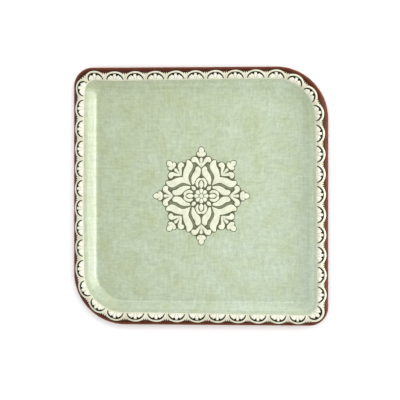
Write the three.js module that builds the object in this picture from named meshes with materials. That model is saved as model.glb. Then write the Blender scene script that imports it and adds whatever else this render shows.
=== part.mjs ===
// A square painted tray that lies flat. A pan pressed from sheet steel has its edge rolled
// round a wire. It carries a green enamel on its field, a terracotta enamel on its rim, a
// lace border in four lengths along the crest, and a medallion of raised painted strokes.
// Millimetres, +Z up, with the origin under the middle of the base.

import * as THREE from "three";

// Pan
const trayWidth = 300; // along X, over the painted bead
const trayLength = 300; // along Y, over the painted bead
const broadCornerRadius = 61; // at the outer edge, +X+Y and -X-Y corners
const tightCornerRadius = 22; // at the outer edge, the other two corners
const tightFloorRadius = 4.5; // the same two corners where the floor begins
const sheetThickness = 0.8;
const floorInset = 28.5; // from the outer edge to the flat floor
const coveRadius = 5; // between floor and wall, on the upper face
const crestInset = 9; // from the outer edge to the top of the rim
const crestHeight = 14.8; // of the sheet's upper face above the table
const crestRadius = 4.3;

// Rolled edge
const wireRadius = 1.5;
const wireClearance = 0.05;
const beadHeight = 7.5; // of the wire's middle above the table
const wireSides = 12;
const rollSteps = 10; // each one side of the wire
const paintedRollSteps = 5; // how far the rim enamel follows the roll

// Coats and transfers
const enamelThickness = 0.2;
const laceThickness = 0.2;
const laceBaseShare = 0.12; // of the wall's slope that the lace covers, from its top
const laceValleyShare = 0.03; // of the outer slope that a valley between scallops covers
const laceApexShare = 0.44; // of the outer slope that the top of a scallop covers
const scallopPitch = 23.6; // along the crest
const scallopSteps = 6;

// Medallion
const medallionRadius = 57;
const drawnRadius = 57; // the size at which the strokes are drawn below
const groundThickness = 0.15;
const strokeThickness = 0.35;
const strokeCurveSteps = 2; // for each span between two drawn points
const groundCurveSteps = 1;

// Facets
const broadCornerSteps = 10;
const tightCornerSteps = 6;
const coveSteps = 4;
const crestSteps = 4;

const fieldGreen = 0xc7d2b6;
const terracotta = 0x8f6450;
const bareSteel = 0x9a9a98;
const laceCream = 0xf0eed7;
const groundOlive = 0x5a5a3c;
const strokeCream = 0xfafde1;
const shadowOlive = 0x82876a;
const mirrorGlaze = 0.2; // roughness of the clear coat over the field
const brushedGlaze = 0.3; // and of what is painted or laid by hand
const thinGlaze = 0.35;
const steelRoughness = 0.4;
const metal = 1;

const tray = new THREE.Group();

function addMesh(name, geometry, color, roughness, metalness = 0) {
  const material = new THREE.MeshStandardMaterial({ color, roughness, metalness });
  const mesh = new THREE.Mesh(geometry, material);
  mesh.name = name;
  tray.add(mesh);
  return mesh;
}

// Plan outline: a square whose opposite corners differ. Its corners run anticlockwise.
const tightCorner = { radius: tightCornerRadius, floorRadius: tightFloorRadius, steps: tightCornerSteps };
const broadCorner = {
  radius: broadCornerRadius,
  floorRadius: broadCornerRadius - floorInset,
  steps: broadCornerSteps,
};
const corners = [
  { sideX: 1, sideY: -1, ...tightCorner },
  { sideX: 1, sideY: 1, ...broadCorner },
  { sideX: -1, sideY: 1, ...tightCorner },
  { sideX: -1, sideY: -1, ...broadCorner },
];

// The stations round the outline start in the middle of the first corner.
function makeStations() {
  const stations = [];
  corners.forEach((corner, index) => {
    const start = (index - 1) * 90;
    for (let step = 0; step <= corner.steps; step += 1) {
      stations.push({ corner, angle: THREE.MathUtils.degToRad(start + (90 * step) / corner.steps) });
    }
  });
  const half = tightCornerSteps / 2;
  return [...stations.slice(half), ...stations.slice(0, half)];
}

const stations = makeStations();

function stationPoint(index, inset, height) {
  const { corner, angle } = stations[index % stations.length];
  const radius = THREE.MathUtils.lerp(corner.radius, corner.floorRadius, inset / floorInset);
  const centreX = corner.sideX * (trayWidth / 2 - inset - radius);
  const centreY = corner.sideY * (trayLength / 2 - inset - radius);
  const x = centreX + radius * Math.cos(angle);
  const y = centreY + radius * Math.sin(angle);
  return new THREE.Vector3(x, y, height);
}

// A place between two stations lies on the flat facet between them.
function placePoint(place, [inset, height]) {
  const index = Math.floor(place);
  const point = stationPoint(index, inset, height);
  point.lerp(stationPoint(index + 1, inset, height), place - index);
  return { at: place, point };
}

function ring(sectionPoint) {
  return Array.from({ length: stations.length + 1 }, (_, place) => placePoint(place, sectionPoint));
}

// Section: arcs joined by their common tangents. An angle is the lean of the face's normal
// from vertical, outwards positive. A negative radius is a hollow arc with its centre above.
const crestCentreHeight = crestHeight - crestRadius;
const beadRadius = wireRadius + wireClearance + sheetThickness;
const beadInset = beadRadius + enamelThickness;
const coveCentreHeight = sheetThickness + coveRadius;
const coveRun = floorInset - crestInset;
const coveDrop = crestCentreHeight - coveCentreHeight;
const wallAngle = tangentLean(coveRun, coveDrop, crestRadius + coveRadius);
const beadRun = crestInset - beadInset;
const beadDrop = crestCentreHeight - beadHeight;
const rimAngle = tangentLean(beadRun, beadDrop, crestRadius - beadRadius);
const wireStep = (2 * Math.PI) / wireSides;

// The lean of the straight that touches two arcs, from how far apart their centres are and
// its reach: the sum of their radii if it crosses between them, or the difference if not.
function tangentLean(run, drop, reach) {
  return Math.asin(reach / Math.hypot(run, drop)) + Math.atan2(drop, run);
}

const coveArc = {
  inset: floorInset,
  height: coveCentreHeight,
  radius: -coveRadius,
  from: 0,
  to: -wallAngle,
  steps: coveSteps,
};
const crestArc = {
  inset: crestInset,
  height: crestCentreHeight,
  radius: crestRadius,
  from: -wallAngle,
  to: rimAngle,
  steps: crestSteps,
};
const beadArc = {
  inset: beadInset,
  height: beadHeight,
  radius: beadRadius,
  from: rimAngle,
  to: rimAngle + rollSteps * wireStep,
  steps: rollSteps,
};

function arcPoint(arc, radius, angle) {
  return [arc.inset - radius * Math.sin(angle), arc.height + radius * Math.cos(angle)];
}

// The section's points from the floor's edge to the end of the roll, on the face that lies
// this far above the sheet's painted face.
function section(above) {
  return [coveArc, crestArc, beadArc].flatMap((arc) =>
    Array.from({ length: arc.steps + 1 }, (_, step) => {
      const angle = THREE.MathUtils.lerp(arc.from, arc.to, step / arc.steps);
      return arcPoint(arc, arc.radius + above, angle);
    }),
  );
}

const crestStart = coveSteps + 1; // index of the crest's first point in a section
const crestEnd = crestStart + crestSteps;
const rimEnd = crestEnd + 1 + paintedRollSteps;

// Triangles between two rows of placed points that run the same way.
function stitch(triangles, near, far) {
  let i = 0;
  let j = 0;
  while (i < near.length - 1 || j < far.length - 1) {
    const nearNext = i < near.length - 1 ? near[i + 1].at : Infinity;
    const farNext = j < far.length - 1 ? far[j + 1].at : Infinity;
    if (nearNext <= farNext) {
      triangles.push(near[i].point, near[i + 1].point, far[j].point);
      i += 1;
    } else {
      triangles.push(near[i].point, far[j + 1].point, far[j].point);
      j += 1;
    }
  }
}

function shell(rows, ends = []) {
  const triangles = [];
  rows.slice(1).forEach((row, index) => stitch(triangles, rows[index], row));
  ends.forEach(([near, far]) => stitch(triangles, near, far));
  return new THREE.BufferGeometry().setFromPoints(triangles);
}

function hub(height) {
  return [{ at: 0, point: new THREE.Vector3(0, 0, height) }];
}

// A dish runs from the middle of its underside, over its edge, to the middle of its top.
function dish(underside, top, bottomHeight, topHeight) {
  const rings = [...underside, ...top.toReversed()].map(ring);
  return shell([hub(bottomHeight), ...rings, hub(topHeight)]);
}

function closedRing(underside, top) {
  const loop = [...underside, ...top.toReversed(), underside[0]];
  return shell(loop.map(ring));
}

function addPan() {
  const geometry = dish(section(-sheetThickness), section(0), 0, sheetThickness);
  addMesh("tray_pan", geometry, terracotta, thinGlaze);
}

function addEdgeWire() {
  const sides = Array.from({ length: wireSides + 1 }, (_, side) => {
    const angle = rimAngle - side * wireStep;
    return ring(arcPoint(beadArc, wireRadius, angle));
  });
  addMesh("edge_wire", shell(sides), bareSteel, steelRoughness, metal);
}

function addEnamels() {
  const face = section(0);
  const top = section(enamelThickness);
  const field = dish(
    face.slice(0, crestStart + 1),
    top.slice(0, crestStart + 1),
    sheetThickness,
    sheetThickness + enamelThickness,
  );
  addMesh("field_enamel", field, fieldGreen, mirrorGlaze);
  const rim = closedRing(face.slice(crestStart, rimEnd + 1), top.slice(crestStart, rimEnd + 1));
  addMesh("rim_enamel", rim, terracotta, brushedGlaze);
}

// Distances along the crest, and the place that lies at a distance.
const crestDistances = [0];
for (let index = 0; index < stations.length; index += 1) {
  const here = stationPoint(index, crestInset, 0);
  const next = stationPoint(index + 1, crestInset, 0);
  crestDistances.push(crestDistances[index] + here.distanceTo(next));
}
const crestLength = crestDistances[stations.length];
const scallopCount = 2 * Math.round((crestLength / scallopPitch - 1) / 2) + 1;

function placeAt(distance) {
  const turns = Math.floor(distance / crestLength);
  const rest = distance - turns * crestLength;
  const index = crestDistances.findLastIndex((start) => start <= rest);
  const share = (rest - crestDistances[index]) / (crestDistances[index + 1] - crestDistances[index]);
  return turns * stations.length + index + share;
}

function between(places, low, high) {
  const inner = [];
  for (let place = Math.ceil(low); place <= high; place += 1) {
    inner.push(place);
  }
  const near = (place) => places.some((other) => Math.abs(other - place) < 1e-6);
  return [...places, ...inner.filter((place) => !near(place))].sort((a, b) => a - b);
}

function mix(pointA, pointB, share) {
  return pointA.map((value, axis) => THREE.MathUtils.lerp(value, pointB[axis], share));
}

// How far up its arch a scallop is at this place, from 0 in a valley to 1 at its top.
function archShare(place) {
  const index = Math.floor(place) % stations.length;
  const start = crestDistances[index];
  const span = crestDistances[index + 1] - start;
  const scallops = ((start + span * (place % 1)) / crestLength) * scallopCount;
  const fromTop = 2 * (scallops - Math.round(scallops));
  return Math.sqrt(Math.max(0, 1 - fromTop * fromTop));
}

// The lace lies on the enamels. Its rows run along it, from its base line on the wall, over
// the crest, to its scalloped edge on the outer slope.
function laceRows(firstScallop, lastScallop, above) {
  const points = section(above);
  const valleys = [];
  const edge = [];
  for (let scallop = firstScallop; scallop <= lastScallop + 1; scallop += 1) {
    const start = ((scallop - 0.5) / scallopCount) * crestLength;
    valleys.push(placeAt(start));
    for (let step = 0; step < scallopSteps; step += 1) {
      edge.push(placeAt(start + (step / scallopSteps / scallopCount) * crestLength));
    }
  }
  const low = valleys[0];
  const high = valleys[valleys.length - 1];
  const coarse = between(valleys, low, high);
  const fine = between(edge.slice(0, 1 - scallopSteps), low, high);
  const base = mix(points[crestStart], points[crestStart - 1], laceBaseShare);
  const inner = [base, ...points.slice(crestStart, crestEnd + 1)];
  const rows = inner.map((point) => coarse.map((place) => placePoint(place, point)));
  const scalloped = fine.map((place) => {
    const share = THREE.MathUtils.lerp(laceValleyShare, laceApexShare, archShare(place));
    return placePoint(place, mix(points[crestEnd], points[crestEnd + 1], share));
  });
  return [...rows, scalloped];
}

function endPoints(rows, index) {
  return rows.map((row, at) => ({ at, point: row.at(index).point }));
}

function addLaceBorder() {
  const quarter = Math.floor(scallopCount / 4);
  const starts = [1, quarter + 1, 2 * quarter + 1, 3 * quarter + 1, scallopCount + 1];
  ["right", "top", "left", "bottom"].forEach((side, index) => {
    const under = laceRows(starts[index], starts[index + 1] - 1, enamelThickness);
    const top = laceRows(starts[index], starts[index + 1] - 1, enamelThickness + laceThickness);
    const loop = [...under, ...top.toReversed(), under[0]];
    const ends = [
      [endPoints(under, 0), endPoints(top, 0)],
      [endPoints(top, -1), endPoints(under, -1)],
    ];
    addMesh(`lace_border_${side}`, shell(loop, ends), laceCream, brushedGlaze);
  });
}

// Medallion strokes, drawn with their arm along +Y. Each run is one smooth curve, and runs
// meet in corners. A half outline is completed by its mirror image.
const drawnScale = medallionRadius / drawnRadius;

function runPoints(run, curveSteps) {
  const curve = new THREE.SplineCurve(run.map(([x, y]) => new THREE.Vector2(x, y)));
  return curve.getPoints((run.length - 1) * curveSteps).slice(0, -1);
}

function mirrored(points) {
  return points.map(([x, y]) => [-x, y]).reverse();
}

function symmetric(runs) {
  return [...runs, ...runs.toReversed().map(mirrored)];
}

function shapeOf(runs, curveSteps = strokeCurveSteps) {
  const points = runs.flatMap((run) => runPoints(run, curveSteps));
  return new THREE.Shape(points.map((point) => point.multiplyScalar(drawnScale)));
}

function plate(shape, depth) {
  return new THREE.ExtrudeGeometry(shape, { depth, bevelEnabled: false });
}

const trefoilOutline = symmetric([
  [
    [0, 45.8],
    [3.3, 46.3],
    [5.3, 48.6],
    [4.6, 50.9],
    [2.5, 50.7],
  ],
  [
    [2.5, 50.7],
    [3.1, 53],
    [2.3, 55.4],
    [0, 57],
  ],
]);

const fleurOutline = symmetric([
  [
    [0, 33],
    [3.4, 36.2],
    [5.4, 38.4],
    [7.4, 39.8],
    [9.3, 39.2],
    [11.4, 40.4],
    [11.2, 43.8],
    [8.6, 45.5],
    [5.5, 44.6],
    [3.4, 41.6],
    [1.5, 36.6],
  ],
  [
    [1.5, 36.6],
    [1.6, 40],
    [2.1, 43],
    [0, 44.8],
  ],
]);

const axisLeafOutline = [
  [
    [11, 13.2],
    [11.6, 17.5],
    [11.6, 21],
    [9.8, 25.6],
    [7.2, 29.4],
    [6.7, 32.4],
    [5.2, 34.2],
    [3, 33.8],
    [0.8, 31.6],
  ],
  [
    [0.8, 31.6],
    [0.9, 27],
    [1.9, 23.9],
    [4.9, 20.9],
    [7.6, 17.2],
    [8.6, 14],
    [11, 13.2],
  ],
];

const shadowOutline = [
  [
    [9, 38],
    [9.6, 34.7],
    [11.2, 30.8],
    [13.7, 25.6],
    [14.4, 21.5],
    [13.4, 17.6],
    [12.1, 14.6],
  ],
  [
    [12.1, 14.6],
    [12.3, 17.6],
    [12.5, 21.4],
    [10.7, 26.2],
    [8.4, 30.4],
    [7.5, 34],
    [6.1, 37.2],
  ],
  [
    [6.1, 37.2],
    [9, 38],
  ],
];

const leafPairOutline = symmetric([
  [
    [0, 17.5],
    [3.4, 24.8],
    [7.4, 28],
    [13.8, 29.8],
    [18.2, 32.4],
    [19.4, 36.8],
    [18.6, 40.3],
    [16.4, 40.9],
    [13.2, 38],
    [7.4, 36],
    [2.6, 33],
    [0, 30.8],
  ],
]);

const lozengeOutline = symmetric([
  [
    [0, 9.6],
    [2.3, 12.4],
    [0, 16.3],
  ],
]);

const budDropOutline = symmetric([
  [
    [0, 8.8],
    [1.9, 10.9],
    [2.5, 13.2],
    [1.6, 16],
    [0, 18],
  ],
]);

const budHoodOutline = symmetric([
  [
    [0, 19],
    [2.6, 17.4],
    [3.7, 14.4],
    [3.3, 10.8],
    [4.6, 10],
    [6.7, 13.4],
    [6.3, 17],
    [4.5, 19.7],
    [2.2, 20.9],
    [0, 20.2],
  ],
]);

function addStroke(name, outline, turns, color, mirror = false) {
  const runs = mirror ? outline.toReversed().map(mirrored) : outline;
  const mesh = addMesh(name, plate(shapeOf(runs), strokeThickness), color, brushedGlaze);
  mesh.rotation.z = -turns * 2 * Math.PI;
  mesh.position.z = groundTop;
}

const groundTop = sheetThickness + enamelThickness + groundThickness;
const armNames = ["n", "ne", "e", "se", "s", "sw", "w", "nw"];

// The ground reaches a little past the strokes, from the tip of one arm to the next.
const groundArm = [
  [0, 58],
  [2.7, 56.4],
  [4, 53.4],
  [4.3, 52],
  [6.1, 50.4],
  [6.4, 48.2],
  [6.2, 46.9],
  [9, 46.4],
  [12.1, 44.5],
  [13, 42.6],
];
const groundLeafTip = [
  [15.2, 42.7],
  [17.6, 41.9],
  [18.8, 39.4],
];

function turned([x, y], turns) {
  const angle = turns * 2 * Math.PI;
  return [x * Math.cos(angle) + y * Math.sin(angle), y * Math.cos(angle) - x * Math.sin(angle)];
}

function addMedallionGround() {
  const eighth = 1 / armNames.length;
  const nextArm = mirrored(groundArm).map((point) => turned(point, eighth));
  const axisToDiagonal = [...groundArm, ...groundLeafTip, ...nextArm];
  const diagonalToAxis = mirrored(axisToDiagonal).map((point) => turned(point, 2 * eighth));
  const runs = armNames.map((_, arm) => {
    const run = arm % 2 === 0 ? axisToDiagonal : diagonalToAxis;
    const start = arm % 2 === 0 ? arm : arm - 1;
    return run.map((point) => turned(point, start * eighth));
  });
  const geometry = plate(shapeOf(runs, groundCurveSteps), groundThickness);
  const mesh = addMesh("medallion_ground", geometry, groundOlive, thinGlaze);
  mesh.position.z = groundTop - groundThickness;
}

const rosetteRadius = 9;
const rosetteValleyRadius = 5.2;
const rosetteShoulderRadius = 7.4;
const rosetteShoulderShare = 0.2; // of one petal's angle
const rosetteEyeRadius = 2.2;
const rosetteEyeGap = 0.7;

function addRosette() {
  const petal = 1 / armNames.length;
  const polar = (radius, turns) => turned([0, radius], turns);
  const runs = armNames.map((_, index) => {
    const start = index * petal;
    return [
      polar(rosetteValleyRadius, start),
      polar(rosetteShoulderRadius, start + rosetteShoulderShare * petal),
      polar(rosetteRadius, start + petal / 2),
      polar(rosetteShoulderRadius, start + (1 - rosetteShoulderShare) * petal),
      polar(rosetteValleyRadius, start + petal),
    ];
  });
  const shape = shapeOf(runs);
  const eyeRoom = new THREE.Path();
  eyeRoom.absarc(0, 0, (rosetteEyeRadius + rosetteEyeGap) * drawnScale, 0, 2 * Math.PI);
  shape.holes.push(eyeRoom);
  addMesh("rosette", plate(shape, strokeThickness), strokeCream, brushedGlaze).position.z = groundTop;
  const eye = new THREE.Shape();
  eye.absarc(0, 0, rosetteEyeRadius * drawnScale, 0, 2 * Math.PI);
  addMesh("rosette_eye", plate(eye, strokeThickness), strokeCream, brushedGlaze).position.z = groundTop;
}

function addArms() {
  armNames.forEach((arm, index) => {
    const turns = index / armNames.length;
    addStroke(`trefoil_${arm}`, trefoilOutline, turns, strokeCream);
    addStroke(`fleur_${arm}`, fleurOutline, turns, strokeCream);
    if (index % 2 === 0) {
      addStroke(`bud_drop_${arm}`, budDropOutline, turns, strokeCream);
      addStroke(`bud_hood_${arm}`, budHoodOutline, turns, strokeCream);
      addStroke(`leaf_${arm}_right`, axisLeafOutline, turns, strokeCream);
      addStroke(`leaf_${arm}_left`, axisLeafOutline, turns, strokeCream, true);
      addStroke(`shadow_${arm}_right`, shadowOutline, turns, shadowOlive);
      addStroke(`shadow_${arm}_left`, shadowOutline, turns, shadowOlive, true);
    } else {
      addStroke(`leaf_pair_${arm}`, leafPairOutline, turns, strokeCream);
      addStroke(`lozenge_${arm}`, lozengeOutline, turns, strokeCream);
    }
  });
}

addPan();
addEdgeWire();
addEnamels();
addLaceBorder();
addMedallionGround();
addRosette();
addArms();

export default tray;
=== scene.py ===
"""A square painted tray, lying flat: a smooth pressed pan, an enamelled field and rim, a lace
border of raised slip, and a medallion of crowned strokes. Lengths are in metres, apart from the
flat drawings of strokes, which are in millimetres.
"""

import math

import bmesh
import bpy
import numpy as np
from mathutils import Matrix, Vector
from mathutils.geometry import delaunay_2d_cdt


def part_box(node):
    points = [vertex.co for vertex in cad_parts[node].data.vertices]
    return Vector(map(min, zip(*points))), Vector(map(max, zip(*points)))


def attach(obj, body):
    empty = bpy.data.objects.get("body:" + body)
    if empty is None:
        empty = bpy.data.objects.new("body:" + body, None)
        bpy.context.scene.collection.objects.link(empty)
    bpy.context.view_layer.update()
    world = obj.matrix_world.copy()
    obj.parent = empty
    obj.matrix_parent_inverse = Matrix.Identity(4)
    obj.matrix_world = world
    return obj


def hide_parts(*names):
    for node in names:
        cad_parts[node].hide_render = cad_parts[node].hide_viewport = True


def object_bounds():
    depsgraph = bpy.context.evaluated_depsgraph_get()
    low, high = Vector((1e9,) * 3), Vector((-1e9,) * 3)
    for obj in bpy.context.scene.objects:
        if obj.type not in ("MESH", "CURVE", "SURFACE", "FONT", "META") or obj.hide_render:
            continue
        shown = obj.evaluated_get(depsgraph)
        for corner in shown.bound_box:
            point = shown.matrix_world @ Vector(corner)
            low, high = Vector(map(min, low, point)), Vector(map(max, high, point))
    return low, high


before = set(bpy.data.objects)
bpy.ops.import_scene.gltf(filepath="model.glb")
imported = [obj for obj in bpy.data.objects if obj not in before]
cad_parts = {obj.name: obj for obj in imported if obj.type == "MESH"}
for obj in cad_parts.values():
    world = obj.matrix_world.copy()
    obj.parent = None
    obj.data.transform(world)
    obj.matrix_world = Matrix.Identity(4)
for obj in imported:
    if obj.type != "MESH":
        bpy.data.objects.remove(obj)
cad_box = [list(corner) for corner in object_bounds()]

MM = 0.001

# The pan. Its overall sizes come from the bounds of the parts in model.glb, and the rest repeats
# the part's own values. An inset is measured inwards, in the plan, from the tray's painted outer
# edge.
HALF_X = cad_box[1][0]
HALF_Y = cad_box[1][1]
BROAD_RADIUS = 61 * MM
TIGHT_RADIUS = 22 * MM
TIGHT_FLOOR_RADIUS = 4.5 * MM
SHEET = 0.8 * MM
ENAMEL = 0.2 * MM
FLOOR_INSET = 28.5 * MM
COVE_RADIUS = 5 * MM
CREST_INSET = 9 * MM
CREST_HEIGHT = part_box("tray_pan")[1].z
CREST_RADIUS = 4.3 * MM
BEAD_RADIUS = 2.35 * MM
BEAD_HEIGHT = 7.5 * MM
ROLL_TURN = math.radians(300)
PAINTED_ROLL_TURN = math.radians(150)  # how far the rim enamel follows the rolled edge
ROLL_STEPS = 24

# Pressed walls are never quite straight: they swell a few tenths of a millimetre.
WALL_ARC_RADIUS = 100 * MM
RIM_ARC_RADIUS = 32 * MM

# The lace, laid by hand, strays from its place. At these scallops, counted anticlockwise from
# the +X-Y corner, it wanders outwards and drifts anticlockwise by the millimetres given here.
SCALLOPS = 45
LACE_BASE_INSET = 14.6 * MM
WANDER_AT = [0, 2, 4, 8, 10.5, 14, 17, 21, 24, 29, 33, 36, 41, 45]
WANDER = [2.7, 2.8, 2.4, 1.6, 0.3, 0.9, 0.2, -0.6, 2.0, 2.9, 1.6, 0.7, 1.8, 2.7]
DRIFT_AT = [0, 2.6, 8.5, 14.6, 18, 22.5, 25, 31, 34, 37, 40, 43, 45]
DRIFT = [0.6, -1.8, -4.5, -1.4, -2.6, -1, 0, -3.9, -1.2, 1.6, 2.6, 2.7, 0.6]


# ---------------------------------------------------------------- plan and section


def arc_spokes(side_x, side_y, outer_radius, floor_radius, first_degree, steps):
    """Points of one corner: where each is at the outer edge, and its move per metre of inset."""
    slope = (floor_radius - outer_radius) / FLOOR_INSET
    side = np.array([side_x, side_y])
    spokes = []
    for step in range(steps + 1):
        angle = math.radians(first_degree + 90 * step / steps)
        turn = np.array([math.cos(angle), math.sin(angle)])
        start = side * (np.array([HALF_X, HALF_Y]) - outer_radius) + outer_radius * turn
        spokes.append((start, side * (-1 - slope) + slope * turn))
    return spokes


def make_spokes():
    """The whole plan, anticlockwise from the middle of the +X-Y corner, straights divided too."""
    broad_floor = BROAD_RADIUS - FLOOR_INSET
    tight_steps, broad_steps, straight_steps = 16, 32, 40
    corners = [
        arc_spokes(1, -1, TIGHT_RADIUS, TIGHT_FLOOR_RADIUS, -90, tight_steps),
        arc_spokes(1, 1, BROAD_RADIUS, broad_floor, 0, broad_steps),
        arc_spokes(-1, 1, TIGHT_RADIUS, TIGHT_FLOOR_RADIUS, 90, tight_steps),
        arc_spokes(-1, -1, BROAD_RADIUS, broad_floor, 180, broad_steps),
    ]
    spokes = []
    for index, corner in enumerate(corners):
        spokes += corner
        last, following = corner[-1], corners[(index + 1) % len(corners)][0]
        for share in np.linspace(0, 1, straight_steps)[1:-1]:
            spokes.append(tuple(a + (b - a) * share for a, b in zip(last, following)))
    half = tight_steps // 2
    return spokes[half:] + spokes[:half]


SPOKES = make_spokes()
SPOKE_STARTS = np.array([start for start, move in SPOKES])
SPOKE_MOVES = np.array([move for start, move in SPOKES])


def crest_distances():
    """Distance along the crest of each spoke, and how much a spoke slants along it per inset."""
    points = SPOKE_STARTS + SPOKE_MOVES * CREST_INSET
    ahead = np.roll(points, -1, axis=0)
    steps = np.linalg.norm(ahead - points, axis=1)
    along = ahead - np.roll(points, 1, axis=0)
    along /= np.linalg.norm(along, axis=1)[:, None]
    slants = (SPOKE_MOVES * along).sum(1)
    return np.concatenate([[0], np.cumsum(steps)]), np.append(slants, slants[0])


DISTANCES, SLANTS = crest_distances()
ROUND = DISTANCES[-1]
PITCH = ROUND / SCALLOPS

CREST_CENTRE = np.array([CREST_INSET, CREST_HEIGHT - CREST_RADIUS])
COVE_CENTRE = np.array([FLOOR_INSET, SHEET + COVE_RADIUS])
BEAD_CENTRE = np.array([BEAD_RADIUS + ENAMEL, BEAD_HEIGHT])


def touching_arc(first, first_reach, second, second_reach):
    """Centre of the arc below two circles, at the given distances from their centres."""
    gap = np.linalg.norm(second - first)
    along = (second - first) / gap
    run = (gap**2 + first_reach**2 - second_reach**2) / (2 * gap)
    drop = math.sqrt(first_reach**2 - run**2)
    aside = np.array([along[1], -along[0]])
    sides = [first + along * run + sign * drop * aside for sign in (1, -1)]
    return min(sides, key=lambda centre: centre[1])


WALL_CENTRE = touching_arc(
    COVE_CENTRE, WALL_ARC_RADIUS + COVE_RADIUS, CREST_CENTRE, WALL_ARC_RADIUS - CREST_RADIUS
)
RIM_CENTRE = touching_arc(
    CREST_CENTRE, RIM_ARC_RADIUS - CREST_RADIUS, BEAD_CENTRE, RIM_ARC_RADIUS - BEAD_RADIUS
)


def lean_of(low, high):
    """Lean of the line between two points of the section, from upright, outwards positive."""
    return math.atan2(low[0] - high[0], high[1] - low[1])


COVE_LEAN = lean_of(WALL_CENTRE, COVE_CENTRE)
WALL_LEAN = lean_of(WALL_CENTRE, CREST_CENTRE)
RIM_LEAN = lean_of(RIM_CENTRE, CREST_CENTRE)
BEAD_LEAN = lean_of(RIM_CENTRE, BEAD_CENTRE)


def section(above, last_turn=ROLL_TURN):
    """Points above the sheet's face, from the floor's edge to the roll: inset, height and lean."""
    end = RIM_LEAN + last_turn
    roll_steps = round(ROLL_STEPS * last_turn / ROLL_TURN)
    # Each arc's centre, radius, first lean, last lean and number of steps
    arcs = [
        (COVE_CENTRE, -COVE_RADIUS, 0, COVE_LEAN, 10),
        (WALL_CENTRE, WALL_ARC_RADIUS, COVE_LEAN, WALL_LEAN, 8),
        (CREST_CENTRE, CREST_RADIUS, WALL_LEAN, RIM_LEAN, 14),
        (RIM_CENTRE, RIM_ARC_RADIUS, RIM_LEAN, BEAD_LEAN, 6),
        (BEAD_CENTRE, BEAD_RADIUS, BEAD_LEAN, end, roll_steps),
    ]
    points = []
    for number, ((inset, height), radius, first, last, steps) in enumerate(arcs):
        for lean in np.linspace(first, last, steps + 1)[1 if number else 0 :]:
            reach = radius + above
            points.append((inset - reach * math.sin(lean), height + reach * math.cos(lean), lean))
    return points


# The enamelled face that the lace lies on, up to a little way round the bead, by rising inset
FACE_ROLL_TURN = math.radians(60)
FACE = np.array(section(ENAMEL, FACE_ROLL_TURN))[::-1]


def lace_place(distances, insets):
    """Where the lace really lies: distances along the crest and insets, strayed from their line."""
    scallops = (distances / PITCH) % SCALLOPS
    wander = np.interp(scallops, WANDER_AT, WANDER)
    drift = np.interp(scallops, DRIFT_AT, DRIFT)
    return distances + drift * MM, insets - wander * MM


def on_tray(distances, insets, lifts):
    """Places on the enamelled rim and wall: distance along the crest, inset, and height above."""
    slant = np.interp(distances % ROUND, DISTANCES, SLANTS)
    distances = (distances - slant * (insets - CREST_INSET)) % ROUND
    heights = np.interp(insets, FACE[:, 0], FACE[:, 1])
    leans = np.interp(insets, FACE[:, 0], FACE[:, 2])
    insets = insets - lifts * np.sin(leans)
    heights = heights + lifts * np.cos(leans)
    index = np.searchsorted(DISTANCES, distances, side="right") - 1
    share = (distances - DISTANCES[index]) / (DISTANCES[index + 1] - DISTANCES[index])
    following = (index + 1) % len(SPOKES)
    here = SPOKE_STARTS[index] + SPOKE_MOVES[index] * insets[:, None]
    there = SPOKE_STARTS[following] + SPOKE_MOVES[following] * insets[:, None]
    plan = here + (there - here) * share[:, None]
    return np.column_stack([plan, heights])


# ---------------------------------------------------------------- mesh building


WELD_DISTANCE = 1e-7
SHARP_ANGLE = math.radians(35)


def make_piece(name, points, faces, material, slot, replaces=()):
    """Makes one smooth-shaded piece, parents it to the tray's body, and hides the CAD nodes it
    replaces.
    """
    mesh = bpy.data.meshes.new(name)
    mesh.from_pydata([tuple(point) for point in points], [], faces)
    tidy = bmesh.new()
    tidy.from_mesh(mesh)
    bmesh.ops.remove_doubles(tidy, verts=tidy.verts, dist=WELD_DISTANCE)
    bmesh.ops.recalc_face_normals(tidy, faces=tidy.faces)
    tidy.to_mesh(mesh)
    tidy.free()
    for face in mesh.polygons:
        face.use_smooth = True
    mesh.set_sharp_from_angle(angle=SHARP_ANGLE)
    mesh.materials.append(material)
    piece = bpy.data.objects.new(name, mesh)
    bpy.context.scene.collection.objects.link(piece)
    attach(piece, "root")
    if replaces:
        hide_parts(*replaces)


def join(parts):
    """Puts the points and faces of several parts into one."""
    points, faces = [], []
    for part_points, part_faces in parts:
        start = len(points)
        points += [tuple(point) for point in part_points]
        faces += [tuple(start + i for i in face) for face in part_faces]
    return points, faces


def loft(section_points, capped):
    """A skin round the tray through section points, closed on itself or capped at both ends."""
    count = len(SPOKES)
    rows = len(section_points)
    points = []
    for inset, height, _ in section_points:
        points += [(x, y, height) for x, y in SPOKE_STARTS + SPOKE_MOVES * inset]
    faces = []
    for row in range(rows - 1 if capped else rows):
        near, far = row * count, (row + 1) % rows * count
        for i in range(count):
            j = (i + 1) % count
            faces.append((near + i, near + j, far + j, far + i))
    if capped:
        faces.append(tuple(range(count)))
        faces.append(tuple(range((rows - 1) * count, rows * count)))
    return points, faces


COAT_SEAM = 22  # the section point, between wall and crest, where field meets rim


def build_pan(back, field, rim):
    """The bare pressed sheet, and the two coats of enamel on it, each with its own thickness."""
    sheet = section(-SHEET) + section(0)[::-1]
    make_piece("pressed_pan", *loft(sheet, True), back, "painted_back", ["tray_pan"])
    coat = section(0)[: COAT_SEAM + 1] + section(ENAMEL)[: COAT_SEAM + 1][::-1]
    make_piece("field_coat", *loft(coat, True), field, "field_green", ["field_enamel"])
    under = section(0, PAINTED_ROLL_TURN)[COAT_SEAM:]
    top = section(ENAMEL, PAINTED_ROLL_TURN)[COAT_SEAM:]
    make_piece("rim_coat", *loft(under + top[::-1], False), rim, "rim_terracotta", ["rim_enamel"])


# ---------------------------------------------------------------- brush strokes

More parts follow.
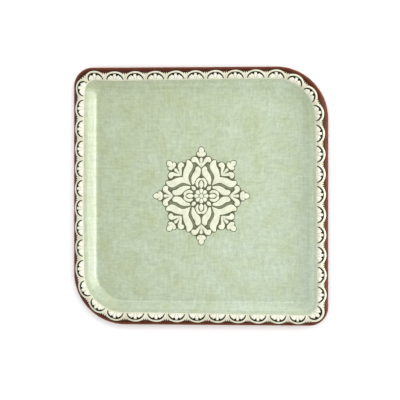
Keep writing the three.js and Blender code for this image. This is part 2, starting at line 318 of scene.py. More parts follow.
CROWN = [(-1, 0), (-0.86, 0.5), (-0.5, 0.86), (0, 1), (0.5, 0.86), (0.86, 0.5), (1, 0)]
STROKE_FOOT = 0.03  # how deep a stroke sinks into what it lies on, in millimetres
NARROW_RISE = 0.2  # the share of its height that a stroke keeps where it runs out to nothing


def crowned_stroke(path, widths, height):
    """A raised brush stroke along a path, in flat millimetres, with a rounded top."""
    path = [np.array(point, float) for point in path]
    ring = CROWN + [(1, None), (-1, None)]
    points = []
    for index, centre in enumerate(path):
        before, after = path[max(index - 1, 0)], path[min(index + 1, len(path) - 1)]
        along = (after - before) / np.linalg.norm(after - before)
        across = np.array([-along[1], along[0]])
        half = widths[index] / 2
        tall = height * min(1, widths[index] / max(widths) + NARROW_RISE)
        for side, rise in ring:
            x, y = centre + across * half * side
            points.append((x, y, -STROKE_FOOT if rise is None else tall * rise))
    around = len(ring)
    faces = []
    for start in range(0, (len(path) - 1) * around, around):
        for k in range(around):
            m = (k + 1) % around
            faces.append((start + k, start + m, start + around + m, start + around + k))
    last = (len(path) - 1) * around
    faces.append(tuple(range(around)))
    faces.append(tuple(range(last, last + around)))
    return points, faces


def tapered_stroke(base, tip, width, height, shares, swells):
    """A straight stroke, with its width as a share of the widest at each share of its length."""
    base, tip = np.array(base, float), np.array(tip, float)
    path = [base + (tip - base) * share for share in shares]
    return crowned_stroke(path, [width * swell for swell in swells], height)


def petal(base, tip, width, height):
    """A brush petal, narrow at its base and round at its tip."""
    shares = [0, 0.25, 0.5, 0.7, 0.85, 0.94, 1]
    swells = [0.25, 0.45, 0.75, 1, 0.9, 0.62, 0.15]
    return tapered_stroke(base, tip, width, height, shares, swells)


def dab(centre, width, length, height):
    """A rounded drop of paint."""
    x, y = centre
    shares = [0, 0.1, 0.32, 0.68, 0.9, 1]
    swells = [0.15, 0.6, 0.97, 0.97, 0.6, 0.15]
    ends = (x, y - length / 2), (x, y + length / 2)
    return tapered_stroke(*ends, width, height, shares, swells)


# ---------------------------------------------------------------- lace border

# The lace's strokes in flat millimetres: x along the border from the scallop's middle, and y
# outwards from the base line. A rise is how high a stroke stands.
ARCH_STEPS = 29
CORD_HALF_WIDTH, CORD_HEIGHT = 11.0, 9.2
CORD_WIDTH, CORD_RISE = 1.75, 0.35
MARK_HALF_WIDTH, MARK_HEIGHT = 9.55, 7.6
MARK_WIDTH, MARK_SWELL, MARK_RISE = 1.0, 1.1, 0.16
MARK_FIRST_DEGREE = 5
EYELET_X, EYELET_Y = 2.75, 6.2
EYELET_WIDTH, EYELET_LENGTH, EYELET_RISE = 2.7, 2.9, 0.2
PETAL_TIPS = [(0, 6.6), (4.8, 5.1), (7.4, 3.3), (-4.8, 5.1), (-7.4, 3.3)]
PETAL_FOOT_Y = 0.6
PETAL_FOOT_SHARE = 0.35  # the foot's x as a share of the tip's
PETAL_WIDTH, PETAL_RISE = 2.3, 0.34
VEIN_TIPS = [(2.2, 4.3), (5.6, 3.4), (-2.2, 4.3), (-5.6, 3.4)]
VEIN_FOOT_Y = 0.8
VEIN_WIDTHS = [0.55, 0.55, 0.35]
VEIN_RISE = 0.14


def arch(half_width, height, widths, tall, first_degree=4):
    """A stroke along half an ellipse that stands on the base line."""
    angles = np.radians(np.linspace(first_degree, 180 - first_degree, ARCH_STEPS))
    path = [(half_width * math.cos(angle), height * math.sin(angle)) for angle in angles]
    return crowned_stroke(path, widths, tall)


def lace_cords():
    """The cord along a scallop's arch."""
    return arch(CORD_HALF_WIDTH, CORD_HEIGHT, [CORD_WIDTH] * ARCH_STEPS, CORD_RISE)


def lace_dark_marks():
    """The shadow line inside the arch, thickest at its shoulders, and the two eyelets."""
    shares = np.linspace(0, 1, ARCH_STEPS)
    swells = [math.sin(2 * math.pi * min(share, 1 - share)) ** 2 for share in shares]
    widths = [MARK_WIDTH + MARK_SWELL * swell for swell in swells]
    marks = [arch(MARK_HALF_WIDTH, MARK_HEIGHT, widths, MARK_RISE, MARK_FIRST_DEGREE)]
    for side in (-1, 1):
        marks.append(dab((side * EYELET_X, EYELET_Y), EYELET_WIDTH, EYELET_LENGTH, EYELET_RISE))
    return join(marks)


def lace_petals():
    """The fan of five petals in a scallop."""
    petals = []
    for x, y in PETAL_TIPS:
        petals.append(petal((x * PETAL_FOOT_SHARE, PETAL_FOOT_Y), (x, y), PETAL_WIDTH, PETAL_RISE))
    return join(petals)


def lace_veins():
    """The four thin lines between a scallop's petals, each bent a little outwards."""
    veins = []
    for x, y in VEIN_TIPS:
        path = [(x * 0.4, VEIN_FOOT_Y), (x * 0.8, y * 0.7), (x, y)]
        veins.append(crowned_stroke(path, VEIN_WIDTHS, VEIN_RISE))
    return join(veins)


def onto_border(part, scallop, lift):
    """Lays a flat part, in millimetres from the foot of its scallop, on the border."""
    points, faces = part
    x, y, z = np.array(points).T * MM
    distances, insets = lace_place(scallop * PITCH + x, LACE_BASE_INSET - y)
    return on_tray(distances, insets, lift + z), faces


# The outer edge of the lace film, in millimetres from the base line: arches with teeth between
EDGE_HALF_WIDTH, EDGE_HEIGHT = 12.8, 10.2
TOOTH_PITCH = 2.36
TOOTH_LINE = 7.3
TOOTH_DEPTH = 1.3  # to each side of the line


def scallop_reach(u, spare):
    """How far the lace reaches out from its base line, u millimetres from a scallop's middle."""
    from_valley = PITCH / MM / 2 - abs(u)
    arch_edge = EDGE_HEIGHT * math.sqrt(max(0, 1 - (u / EDGE_HALF_WIDTH) ** 2))
    tooth = TOOTH_LINE + TOOTH_DEPTH * math.cos(2 * math.pi * (from_valley / TOOTH_PITCH - 0.5))
    return max(arch_edge, tooth) + spare


FILM_STEPS = 40  # along each scallop
FILM_ROWS = 15  # from the base line to the edge


def film(first, last, low, high, spare):
    """A thin scalloped film along the border from one valley to another."""
    stations = (last - first + 1) * FILM_STEPS
    scallops = first - 0.5 + np.arange(stations + 1) / FILM_STEPS
    shares = np.linspace(0, 1, FILM_ROWS)
    distances, insets, lifts = [], [], []
    for scallop in scallops:
        middle = min(max(round(scallop), first), last)
        reach = scallop_reach((scallop - middle) * PITCH / MM, spare) * MM
        for lift in (low, high):
            distances += [scallop * PITCH] * FILM_ROWS
            insets += list(LACE_BASE_INSET - reach * shares)
            lifts += [lift] * FILM_ROWS
    points = on_tray(*lace_place(np.array(distances), np.array(insets)), np.array(lifts))
    loop = list(range(FILM_ROWS)) + list(range(2 * FILM_ROWS - 1, FILM_ROWS - 1, -1))
    faces = []
    for here in range(0, stations * 2 * FILM_ROWS, 2 * FILM_ROWS):
        there = here + 2 * FILM_ROWS
        for a, b in zip(loop, loop[1:] + loop[:1]):
            faces.append((here + a, here + b, there + b, there + a))
    faces.append(tuple(loop))
    faces.append(tuple(stations * 2 * FILM_ROWS + k for k in loop))
    return points, faces


BASE_LINE_Y = 0.1
BASE_LINE_WIDTH, BASE_LINE_RISE = 1.1, 0.3
BASE_LINE_STEPS = 10  # along each scallop


def base_line(first, last):
    """The cord that ends the lace on the wall."""
    points = (last - first + 1) * BASE_LINE_STEPS + 1
    ends = (first - 0.5) * PITCH / MM, (last + 0.5) * PITCH / MM
    path = [(x, BASE_LINE_Y) for x in np.linspace(*ends, points)]
    return crowned_stroke(path, [BASE_LINE_WIDTH] * points, BASE_LINE_RISE)


FRINGE_ROWS = [-1.3, -2.6, -3.9]
FRINGE_DOTS = 15  # in each scallop
FRINGE_DOT_SIZE, FRINGE_DOT_RISE = 0.8, 0.05


def fringe(first, last):
    """Rows of small printed dots on the wall, under the base line, every other row staggered."""
    dots = []
    for row, y in enumerate(FRINGE_ROWS):
        for index in range((last - first + 1) * FRINGE_DOTS):
            scallop = first - 0.5 + (index + 0.25 + 0.5 * (row % 2)) / FRINGE_DOTS
            centre = (scallop * PITCH / MM, y)
            dots.append(dab(centre, FRINGE_DOT_SIZE, FRINGE_DOT_SIZE, FRINGE_DOT_RISE))
    return join(dots)


# The first and the last scallop of each side's length of lace
SIDES = {"right": (1, 11), "top": (12, 22), "left": (23, 33), "bottom": (34, 45)}
OUTLINE_THICKNESS = 0.04 * MM
OUTLINE_WIDTH = 1.1  # in millimetres, past the film's edge
FILM_TOP = 0.16 * MM


def build_lace(cream, dark, white, vein, outline, dots):
    """The four lengths of lace: a dark film, a cream film on it, and the strokes on that."""
    cords, marks, petals, veins = lace_cords(), lace_dark_marks(), lace_petals(), lace_veins()
    for side, (first, last) in SIDES.items():
        scallops = range(first, last + 1)
        under = film(first, last, 0, OUTLINE_THICKNESS, OUTLINE_WIDTH)
        body = film(first, last, OUTLINE_THICKNESS, FILM_TOP, 0)
        make_piece(f"lace_outline_{side}", *under, outline, "rim_terracotta")
        make_piece(f"lace_film_{side}", *body, cream, "lace_cream", [f"lace_border_{side}"])
        for layer, part, material in [
            ("cords", cords, cream),
            ("dark_marks", marks, dark),
            ("petals", petals, white),
            ("veins", veins, vein),
        ]:
            laid = join([onto_border(part, scallop, FILM_TOP) for scallop in scallops])
            make_piece(f"lace_{layer}_{side}", *laid, material, "lace_cream")
        laid = onto_border(base_line(first, last), 0, 0)
        make_piece(f"lace_base_line_{side}", *laid, cream, "lace_cream")
        laid = onto_border(fringe(first, last), 0, 0)
        make_piece(f"lace_fringe_{side}", *laid, dots, "lace_cream")


# ---------------------------------------------------------------- medallion


LEVEL_TOLERANCE = 1e-6
PLACE_DIGITS = 7  # places are told apart to a tenth of a micrometre


def top_outlines(node):
    """The outlines of a CAD stroke's flat top, each an ordered list of points in the plan."""
    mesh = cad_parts[node].data
    top = max(vertex.co.z for vertex in mesh.vertices)
    sides = {}
    for face in mesh.polygons:
        places = [mesh.vertices[i].co for i in face.vertices]
        corners = [tuple(round(c, PLACE_DIGITS) for c in place) for place in places]
        if min(corner[2] for corner in corners) < top - LEVEL_TOLERANCE:
            continue
        for a, b in zip(corners, corners[1:] + corners[:1]):
            if a[:2] in sides.get(b[:2], []):
                sides[b[:2]].remove(a[:2])
            else:
                sides.setdefault(a[:2], []).append(b[:2])
    loops = []
    while any(sides.values()):
        loop = [next(point for point, following in sides.items() if following)]
        while sides.get(loop[-1]):
            loop.append(sides[loop[-1]].pop())
        loops.append([np.array(point) for point in loop[:-1]])
    return loops


CORNER_DEGREES = 50
SPLINE_STEPS = 3


def softened(loop, grown=0.0):
    """The same outline, its gentle bends rounded by a spline, its corners kept, and spread."""
    count = len(loop)
    corner = []
    for i in range(count):
        a, b = loop[i] - loop[i - 1], loop[(i + 1) % count] - loop[i]
        turn = abs(math.degrees(math.atan2(a[0] * b[1] - a[1] * b[0], a @ b)))
        corner.append(turn > CORNER_DEGREES)
    fine = []
    for i in range(count):
        p1, p2 = loop[i], loop[(i + 1) % count]
        p0 = 2 * p1 - p2 if corner[i] else loop[i - 1]
        p3 = 2 * p2 - p1 if corner[(i + 1) % count] else loop[(i + 2) % count]
        for t in np.arange(SPLINE_STEPS) / SPLINE_STEPS:
            first = p2 - p0
            second = 2 * p0 - 5 * p1 + 4 * p2 - p3
            third = 3 * p1 - p0 - 3 * p2 + p3
            fine.append(p1 + 0.5 * (first * t + second * t**2 + third * t**3))
    spread = []
    for i, point in enumerate(fine):
        along = fine[(i + 1) % len(fine)] - fine[i - 1]
        outwards = np.array([along[1], -along[0]]) / (np.linalg.norm(along) + 1e-12)
        spread.append(point + outwards * grown)
    return spread


def loop_sides(loops):
    """The start and the end of every side of the outlines."""
    starts = np.concatenate([np.array(loop) for loop in loops])
    ends = np.concatenate([np.roll(np.array(loop), -1, axis=0) for loop in loops])
    return starts, ends


def edge_distance(point, starts, ends):
    """How far a point is from the nearest side."""
    side = ends - starts
    share = np.clip(((point - starts) * side).sum(1) / (side**2).sum(1), 0, 1)
    return np.linalg.norm(starts + side * share[:, None] - point, axis=1).min()


def is_inside(point, starts, ends):
    """Whether a point lies inside the outline and outside its holes."""
    crosses = (starts[:, 1] > point[1]) != (ends[:, 1] > point[1])
    rise = np.where(crosses, ends[:, 1] - starts[:, 1], 1)
    x = starts[:, 0] + (point[1] - starts[:, 1]) * (ends[:, 0] - starts[:, 0]) / rise
    return np.count_nonzero(crosses & (x > point[0])) % 2 == 1


# A plate is filled with a lattice of near even triangles. Its rows are this share of its spacing
# apart, and its points keep this share of the spacing away from the outlines.
ROW_STEP = 0.87
EDGE_MARGIN = 0.45
KEEP_INSIDE = 1  # what the triangulation gives: the triangles inside the outlines
SAME_POINT = 1e-9


def crowned_plate(loops, low, shoulder, top, round_width, spacing):
    """A plate with a domed top, which rises from its shoulder over a width along its edge."""
    starts, ends = loop_sides(loops)
    flat = [Vector(point) for point in starts]
    edges = []
    first = 0
    for loop in loops:
        edges += [(first + i, first + (i + 1) % len(loop)) for i in range(len(loop))]
        first += len(loop)
    (x0, y0), (x1, y1) = starts.min(0), starts.max(0)
    margin = spacing * EDGE_MARGIN
    for row, y in enumerate(np.arange(y0, y1, spacing * ROW_STEP)):
        for x in np.arange(x0 + (row % 2) * spacing / 2, x1, spacing):
            point = np.array([x, y])
            if is_inside(point, starts, ends) and edge_distance(point, starts, ends) > margin:
                flat.append(Vector(point))
    plan, _, tris, origins, _, _ = delaunay_2d_cdt(flat, edges, [], KEEP_INSIDE, SAME_POINT)
    place = {source: i for i, sources in enumerate(origins) for source in sources}
    plan = [np.array(point) for point in plan]
    middles = [sum(plan[i] for i in tri) / len(tri) for tri in tris]
    tris = [tuple(tri) for tri, middle in zip(tris, middles) if is_inside(middle, starts, ends)]
    points = []
    for x, y in plan:
        depth = min(edge_distance((x, y), starts, ends) / round_width, 1)
        rise = math.sqrt(max(0, 1 - (1 - depth) ** 2))
        points.append((x, y, shoulder + (top - shoulder) * rise))
    below = len(points)
    points += [(x, y, low) for x, y in plan]
    faces = tris + [tuple(below + i for i in tri) for tri in tris]
    for a, b in edges:
        a, b = place[a], place[b]
        faces.append((a, below + a, below + b, b))
    return points, faces


def turned(points, eighths):
    """Flat points turned clockwise by eighths of a turn."""
    angle = -eighths * math.pi / 4
    turn = np.array([[math.cos(angle), math.sin(angle)], [-math.sin(angle), math.cos(angle)]])
    return [tuple(np.array(point) @ turn) for point in points]


GROUND_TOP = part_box("medallion_ground")[1].z
STROKE_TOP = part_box("rosette_eye")[1].z
STROKE_GROWTH = 0.08 * MM  # how far the paint spreads past the CAD stroke's outline
STROKE_SHOULDER = GROUND_TOP + 0.08 * MM
STROKE_LOW = GROUND_TOP - 0.03 * MM
SHADE_TOP = GROUND_TOP + 0.15 * MM
LINE_TOP = STROKE_TOP + 0.02 * MM
LINE_WIDTH = 0.5  # in millimetres

# Of each kind of plate, the width of its rounded edge and the spacing of its points
GROUND_EDGE, GROUND_SPACING = 0.5 * MM, 4 * MM
PETAL_EDGE, PETAL_SPACING = 1.2 * MM, 0.8 * MM
STROKE_EDGE, STROKE_SPACING = 0.9 * MM, 0.9 * MM

# Half of a rosette petal: distance from the centre and half width, in millimetres
ROSETTE_PETAL = [(2.9, 0.6), (4.3, 1.4), (5.7, 2.05), (6.9, 2.2), (7.9, 1.5), (8.4, 0.35)]

# Fine lines drawn over the strokes of one arm, which points along +Y, in millimetres
FLAME_LINES = [
    [(0.15, 34.2), (0.7, 38), (1.5, 41.5), (2.1, 43.6)],
    [(-0.15, 34.2), (-0.7, 38), (-1.5, 41.5), (-2.1, 43.6)],
    [(0, 33.6), (0, 36), (0, 38.5)],
]
TREFOIL_LINES = [
    [(-2.4, 50.8), (-1.7, 49.4), (0, 48.7), (1.7, 49.4), (2.4, 50.8)],
    [(0, 48.7), (0, 47.5)],
]
LEAF_PAIR_LINES = [[(0, 19.5), (0, 24), (0, 28.5)]]


def raised_line(path, width, low, high):
    """A thin painted line that stands from one height to another."""
    tall = (high - low) / MM
    points, faces = crowned_stroke(path, [width] * len(path), tall)
    return [(x * MM, y * MM, low + (z / tall) * (high - low)) for x, y, z in points], faces


def medallion_lines():
    """The fine lines of all eight arms."""
    lines = []
    for arm in range(8):
        drawn = FLAME_LINES + TREFOIL_LINES + (LEAF_PAIR_LINES if arm % 2 else [])
        for path in drawn:
            lines.append(raised_line(turned(path, arm), LINE_WIDTH, GROUND_TOP, LINE_TOP))
    return join(lines)


def rosette_petals():
    """The eight petals in the middle."""
    half = [(width, reach) for reach, width in ROSETTE_PETAL]
    outline = half + [(-x, y) for x, y in reversed(half)]
    shape = (GROUND_TOP, STROKE_SHOULDER, STROKE_TOP, PETAL_EDGE, PETAL_SPACING)
    petals = []
    for arm in range(8):
        loop = softened([np.array(point) * MM for point in turned(outline, arm)])
        petals.append(crowned_plate([loop], *shape))
    return join(petals)


def build_medallion(cream, shade, ground):
    """The medallion from the bottom up: its olive film, the strokes, and the fine lines."""
    ground_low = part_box("medallion_ground")[0].z
    shape = (ground_low, ground_low + 0.05 * MM, GROUND_TOP, GROUND_EDGE, GROUND_SPACING)
    loops = [softened(loop) for loop in top_outlines("medallion_ground")]
    plate = crowned_plate(loops, *shape)
    make_piece("medallion_base_film", *plate, ground, "ground_olive", ["medallion_ground"])
    make_piece("painted_rosette", *rosette_petals(), cream, "stroke_cream", ["rosette"])
    painted = ("rosette_eye", "bud", "leaf", "fleur", "trefoil", "lozenge", "shadow")
    for node in sorted(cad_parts):
        if not node.startswith(painted):
            continue
        is_shade = node.startswith("shadow")
        growth = 0.0 if is_shade else STROKE_GROWTH
        loops = [softened(loop, growth) for loop in top_outlines(node)]
        top = SHADE_TOP if is_shade else STROKE_TOP
        shape = (STROKE_LOW, STROKE_SHOULDER, top, STROKE_EDGE, STROKE_SPACING)
        plate = crowned_plate(loops, *shape)
        paint, slot = (shade, "shadow_olive") if is_shade else (cream, "stroke_cream")
        make_piece(f"painted_{node}", *plate, paint, slot, [node])
    make_piece("medallion_fine_lines", *medallion_lines(), ground, "ground_olive")


# ---------------------------------------------------------------- materials


def linear(code):
    """A linear colour from an sRGB hex value."""
    channels = [int(code[i : i + 2], 16) / 255 for i in (1, 3, 5)]
    light = [c / 12.92 if c <= 0.04045 else ((c + 0.055) / 1.055) ** 2.4 for c in channels]
    return (*light, 1)


def add_node(tree, kind, settings=(), links=()):
    """Adds a node. Settings name its properties or inputs, and links say what feeds its inputs."""
    node = tree.nodes.new(kind)
    for name, value in dict(settings).items():
        if isinstance(name, int) or name in node.inputs:
            node.inputs[name].default_value = value
        else:
            setattr(node, name, value)
    for name, source in dict(links).items():
        tree.links.new(source, node.inputs[name])
    return node


def new_material(name, settings):
    """A material with these shader settings, and the place on the piece for its patterns."""
    material = bpy.data.materials.new(name)
    material.use_nodes = True
    tree = material.node_tree
    shader = tree.nodes["Principled BSDF"]
    for socket, value in settings.items():
        shader.inputs[socket].default_value = value
    place = add_node(tree, "ShaderNodeTexCoord").outputs["Object"]
    return material, tree, shader, place


MIX = "ShaderNodeMix"  # for colours: 0 is how much, 6 and 7 the two colours, and output 2 the mix
NOISE = "ShaderNodeTexNoise"  # its scale is one over the size of its blotches, in metres
RAMP = "ShaderNodeMapRange"
MAPPING = "ShaderNodeMapping"
MATH = "ShaderNodeMath"
VECTOR_MATH = "ShaderNodeVectorMath"
SEPARATE = "ShaderNodeSeparateXYZ"
BUMP = "ShaderNodeBump"
RESULT = "Result"

FIELD_GLOSS = {
    "Roughness": 0.3,
    "IOR": 1.5,
    "Specular IOR Level": 0.4,
    "Coat Weight": 0.8,
    "Coat Roughness": 0.08,
}
GLOSSY = {
    "Roughness": 0.3,
    "IOR": 1.5,
    "Specular IOR Level": 0.4,
    "Coat Weight": 0.3,
    "Coat Roughness": 0.1,
}
SATIN = {"Roughness": 0.45, "IOR": 1.5, "Specular IOR Level": 0.25}
DULL = {"Roughness": 0.5, "IOR": 1.5, "Specular IOR Level": 0.08}
RIM_GLOSS = {
    "IOR": 1.5,
    "Specular IOR Level": 0.06,
    "Coat Weight": 0.08,
    "Coat Roughness": 0.08,
}

# Threads both ways, 17 mm long. Such cloth has them 0.8 mm apart, which is too fine to show, so
# they are drawn 2.4 mm apart. With them go grain 3 mm across and clouds 6 mm across.
LINEN_SCALES = [(60, 420, 1), (420, 60, 1), (330, 330, 1), (160, 160, 1)]


def linen_printed_enamel():
    """Stoving enamel printed with a linen pattern: soft green, stained in olive and pale blue,
    with crossed threads, grain and clouds, under a clear glossy coat.
    """
    material, tree, shader, place = new_material("linen_printed_enamel", FIELD_GLOSS)
    across = add_node(tree, SEPARATE, {}, {0: place}).outputs[0]
    # Stains 24 mm across, from olive to pale blue-green, more of them olive towards -X and +Y
    stains = add_node(tree, NOISE, {"Scale": 42, "Detail": 5, "Roughness": 0.65}, {"Vector": place})
    slope = add_node(
        tree, VECTOR_MATH, {"operation": "DOT_PRODUCT", 1: (0.6, -0.4, 0)}, {0: place}
    ).outputs["Value"]
    stains = add_node(tree, MATH, {"operation": "ADD"}, {0: slope, 1: stains.outputs[0]})
    stain = add_node(
        tree, RAMP, {"From Min": 0.3, "From Max": 0.7}, {"Value": stains.outputs[0]}
    ).outputs[RESULT]
    colour = add_node(
        tree, MIX, {"data_type": "RGBA", 6: linear("#a4af8a"), 7: linear("#b2c0ac")}, {0: stain}
    ).outputs[2]
    # Brown-olive spots 12 mm across, only where the noise is strongest
    spots = add_node(tree, NOISE, {"Scale": 85, "Detail": 5, "Roughness": 0.7}, {"Vector": place})
    spot = add_node(
        tree, RAMP, {"From Min": 0.52, "From Max": 0.74, "To Max": 0.6}, {"Value": spots.outputs[0]}
    ).outputs[RESULT]
    colour = add_node(
        tree, MIX, {"data_type": "RGBA", 7: linear("#949e78")}, {0: spot, 6: colour}
    ).outputs[2]
    # The linen print lightens and darkens the colour
    total = None
    for scale in LINEN_SCALES:
        stretched = add_node(tree, MAPPING, {"Scale": scale}, {"Vector": place}).outputs[0]
        threads = add_node(
            tree, NOISE, {"Scale": 1, "Detail": 2, "Roughness": 0.6}, {"Vector": stretched}
        ).outputs[0]
        if total is None:
            total = threads
        else:
            total = add_node(tree, MATH, {"operation": "ADD"}, {0: total, 1: threads}).outputs[0]
    light = add_node(
        tree,
        RAMP,
        {"From Min": 1.5, "From Max": 2.5, "To Min": 0.84, "To Max": 1.15},
        {"Value": total},
    ).outputs[RESULT]
    # The field grows lighter towards +X
    tone = add_node(
        tree,
        RAMP,
        {"From Min": -0.12, "From Max": 0.09, "To Min": 0.93, "To Max": 1.05},
        {"Value": across},
    ).outputs[RESULT]
    # Painted shade: the field is a little darker along the foot of the +X wall. Painted highlight:
    # it is lighter on the wall above that
    darker_band = add_node(
        tree,
        RAMP,
        {"From Min": 0.115, "From Max": 0.1225, "To Min": 1.0, "To Max": 0.94},
        {"Value": across},
    ).outputs[RESULT]
    painted_highlight_band = add_node(
        tree,
        RAMP,
        {"From Min": 0.1265, "From Max": 0.129, "To Min": 1.0, "To Max": 1.09},
        {"Value": across},
    ).outputs[RESULT]
    for change in (tone, darker_band, painted_highlight_band):
        light = add_node(tree, MATH, {"operation": "MULTIPLY"}, {0: light, 1: change}).outputs[0]
    shaded = add_node(tree, VECTOR_MATH, {"operation": "SCALE"}, {0: colour, "Scale": light})
    tree.links.new(shaded.outputs[0], shader.inputs["Base Color"])
    # The weave stands out of the print by a few hundredths of a millimetre
    relief = add_node(
        tree, BUMP, {"Strength": 0.25, "Distance": 0.04 * MM}, {"Height": total}
    ).outputs[0]
    tree.links.new(relief, shader.inputs["Normal"])
    return material


def terracotta_enamel(name, near, far, mottle, settings):
    """Brush-laid terracotta enamel: mottled brown, darker high on the rim. Near is its colour up
    there by the lace, and far its colour down on the bead.
    """
    material, tree, shader, place = new_material(name, settings)
    height = add_node(tree, SEPARATE, {}, {0: place}).outputs[2]
    # From the bead, 8 mm up, to the foot of the lace, 11.5 mm up
    darker_band = add_node(
        tree, RAMP, {"From Min": 0.008, "From Max": 0.0115}, {"Value": height}
    ).outputs[RESULT]
    colour = add_node(
        tree, MIX, {"data_type": "RGBA", 6: linear(far), 7: linear(near)}, {0: darker_band}
    ).outputs[2]
    # Brush mottling 8 mm across
    noise = add_node(tree, NOISE, {"Scale": 120, "Detail": 5, "Roughness": 0.6}, {"Vector": place})
    blend = add_node(
        tree, RAMP, {"From Min": 0.4, "From Max": 0.62, "To Max": 0.6}, {"Value": noise.outputs[0]}
    ).outputs[RESULT]
    colour = add_node(
        tree, MIX, {"data_type": "RGBA", 7: linear(mottle)}, {0: blend, 6: colour}
    ).outputs[2]
    tree.links.new(colour, shader.inputs["Base Color"])
    rough = add_node(
        tree, RAMP, {"To Min": 0.22, "To Max": 0.42}, {"Value": noise.outputs[0]}
    ).outputs[RESULT]
    tree.links.new(rough, shader.inputs["Roughness"])
    # The brush leaves it a little uneven, by up to 0.2 mm
    relief = add_node(
        tree, BUMP, {"Strength": 0.3, "Distance": 0.2 * MM}, {"Height": noise.outputs[0]}
    ).outputs[0]
    tree.links.new(relief, shader.inputs["Normal"])
    return material


def slip(name, low, high, scale, settings):
    """Slip-like relief enamel, trailed on by hand: its thickness varies, and its tone with it."""
    material, tree, shader, place = new_material(name, settings)
    clouds = add_node(
        tree, NOISE, {"Scale": scale, "Detail": 4, "Roughness": 0.6}, {"Vector": place}
    ).outputs[0]
    blend = add_node(
        tree, RAMP, {"From Min": 0.35, "From Max": 0.65}, {"Value": clouds}
    ).outputs[RESULT]
    colour = add_node(
        tree, MIX, {"data_type": "RGBA", 6: linear(low), 7: linear(high)}, {0: blend}
    ).outputs[2]
    tree.links.new(colour, shader.inputs["Base Color"])
    # Fine ripples, 1 mm across, left by the brush
    ripple = add_node(tree, NOISE, {"Scale": 900, "Detail": 2}, {"Vector": place}).outputs[0]
    relief = add_node(
        tree, BUMP, {"Strength": 0.25, "Distance": 0.08 * MM}, {"Height": ripple}
    ).outputs[0]
    tree.links.new(relief, shader.inputs["Normal"])
    return material


def drawn_steel():
    """Drawn mild steel wire: plain grey metal, its tone uneven in spots 0.7 mm across."""
    material, tree, shader, place = new_material("drawn_steel", {"Metallic": 1.0})
    spots = add_node(tree, NOISE, {"Scale": 1400, "Detail": 3}, {"Vector": place}).outputs[0]
    colour = add_node(
        tree, MIX, {"data_type": "RGBA", 6: linear("#7e7d7a"), 7: linear("#a9a8a4")}, {0: spots}
    ).outputs[2]
    tree.links.new(colour, shader.inputs["Base Color"])
    rough = add_node(tree, RAMP, {"To Min": 0.3, "To Max": 0.5}, {"Value": spots}).outputs[RESULT]
    tree.links.new(rough, shader.inputs["Roughness"])
    return material


# ---------------------------------------------------------------- stage


def aim(thing, target):
    """Turns a camera or a light to face a point, with its own up side towards +Y."""
    back = (Vector(thing.location) - Vector(target)).normalized()
    right = Vector((0, 1, 0)).cross(back).normalized()
    thing.rotation_euler = Matrix((right, back.cross(right), back)).transposed().to_euler()


SENSOR_WIDTH = 36  # millimetres, like the lens
LENS = 290.3
CAMERA_AWAY = 3.75
CAMERA_RIGHT, CAMERA_UP = math.radians(9.9), math.radians(0.3)  # angles from straight above
CAMERA_TARGET = Vector((-0.0003, -0.0047, 0.008))


def build_camera():
    """A long lens that looks down at the tray, from a little to its right."""
    data = bpy.data.cameras.new("camera")
    data.sensor_width = SENSOR_WIDTH
    data.lens = LENS
    data.clip_end = 20
    camera = bpy.data.objects.new("camera", data)
    bpy.context.scene.collection.objects.link(camera)
    flat = math.cos(CAMERA_UP)
    offset = Vector(
        (math.sin(CAMERA_RIGHT) * flat, math.sin(CAMERA_UP), math.cos(CAMERA_RIGHT) * flat)
    )
    camera.location = CAMERA_TARGET + offset * CAMERA_AWAY
    aim(camera, CAMERA_TARGET)
    bpy.context.scene.camera = camera


def build_light(name, location, size, power):
    """A soft box that faces the tray. The second of its sizes runs as near to along Y as it can,
    and the first at right angles to that.
    """
    data = bpy.data.lights.new(name, "AREA")
    data.shape = "RECTANGLE"
    data.size, data.size_y = size
    data.energy = power
    light = bpy.data.objects.new(name, data)
    light.location = location
    aim(light, (0, 0, 0))
    bpy.context.scene.collection.objects.link(light)


def build_world():
    """A white studio dome, brighter towards the horizon and towards +X."""
    world = bpy.data.worlds.new("world")
    world.use_nodes = True
    tree = world.node_tree
    place = add_node(tree, "ShaderNodeTexCoord").outputs["Generated"]
    across, _, up = add_node(tree, SEPARATE, {}, {0: place}).outputs
    height = add_node(
        tree, RAMP, {"From Min": 0, "From Max": 1, "To Min": 1.53, "To Max": 0.9}, {"Value": up}
    ).outputs[RESULT]
    side = add_node(
        tree,
        RAMP,
        {"From Min": -1, "From Max": 1, "To Min": 0.84, "To Max": 1.15},
        {"Value": across},
    ).outputs[RESULT]
    strength = add_node(tree, MATH, {"operation": "MULTIPLY"}, {0: height, 1: side}).outputs[0]
    background = tree.nodes["Background"]
    background.inputs["Color"].default_value = (1, 1, 1, 1)
    tree.links.new(strength, background.inputs["Strength"])
    bpy.context.scene.world = world


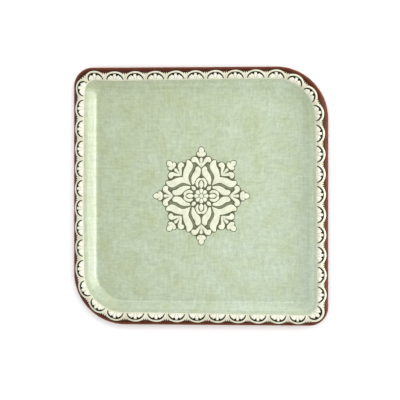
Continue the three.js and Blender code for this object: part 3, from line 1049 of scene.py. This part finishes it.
def build_floor():
    """A sheet of white paper under the tray, much larger than it."""
    mesh = bpy.data.meshes.new("floor")
    half = 3.0
    corners = [(-half, -half, 0), (half, -half, 0), (half, half, 0), (-half, half, 0)]
    mesh.from_pydata(corners, [], [(0, 1, 2, 3)])
    floor = bpy.data.objects.new("floor", mesh)
    bpy.context.scene.collection.objects.link(floor)
    # Matt white paper sweep, with pulp grain 2 mm across
    material, tree, shader, place = new_material("matt_paper_sweep", {"Roughness": 0.9})
    grain = add_node(tree, NOISE, {"Scale": 500, "Detail": 2}, {"Vector": place}).outputs[0]
    colour = add_node(
        tree, MIX, {"data_type": "RGBA", 6: linear("#fbfbfb"), 7: linear("#ffffff")}, {0: grain}
    ).outputs[2]
    tree.links.new(colour, shader.inputs["Base Color"])
    mesh.materials.append(material)


build_camera()
build_world()
build_floor()
bpy.context.scene.view_settings.view_transform = "Standard"
build_light("right_softbox", (1.1, 0.1, 0.4), (0.3, 1.0), 3.0)
build_light("low_strip_light", (1.1, 0.1, 0.2), (0.14, 1.1), 3.2)
build_light("top_softbox", (0.1, 1.0, 1.2), (1.2, 0.8), 5)

# Each paint's darker and lighter tone, and the scale of the clouds between them: 60 makes them
# 17 mm across, and 150 to 200 makes them 5 to 7 mm
cream = slip("lace_cream_slip", "#c2c0a6", "#d2d1bd", 60, GLOSSY)
white = slip("lace_white_slip", "#dadaca", "#e6e6da", 60, GLOSSY)
dark = slip("dark_olive_line", "#15140a", "#211f12", 200, DULL)
vein = slip("grey_olive_vein", "#a9a792", "#c2bfa9", 200, SATIN)
outline = slip("brown_black_outline", "#2a1208", "#452010", 200, DULL)
dots = slip("fringe_dots", "#868d72", "#a3aa90", 150, SATIN)
stroke = slip("medallion_cream_slip", "#cdd0b6", "#dde0ca", 160, GLOSSY)
shade = slip("medallion_olive_shade", "#6a6f55", "#7e8369", 160, SATIN)
ground = slip("medallion_olive_outline", "#4d4f38", "#606248", 160, SATIN)
rim = terracotta_enamel("terracotta_rim_enamel", "#381504", "#85472a", "#4e200b", RIM_GLOSS)
back = terracotta_enamel("terracotta_back_lacquer", "#7b4f3c", "#7b4f3c", "#65402f", SATIN)

build_pan(back, linen_printed_enamel(), rim)
build_lace(cream, dark, white, vein, outline, dots)
build_medallion(stroke, shade, ground)

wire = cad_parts["edge_wire"]
wire.data.materials.clear()
wire.data.materials.append(drawn_steel())
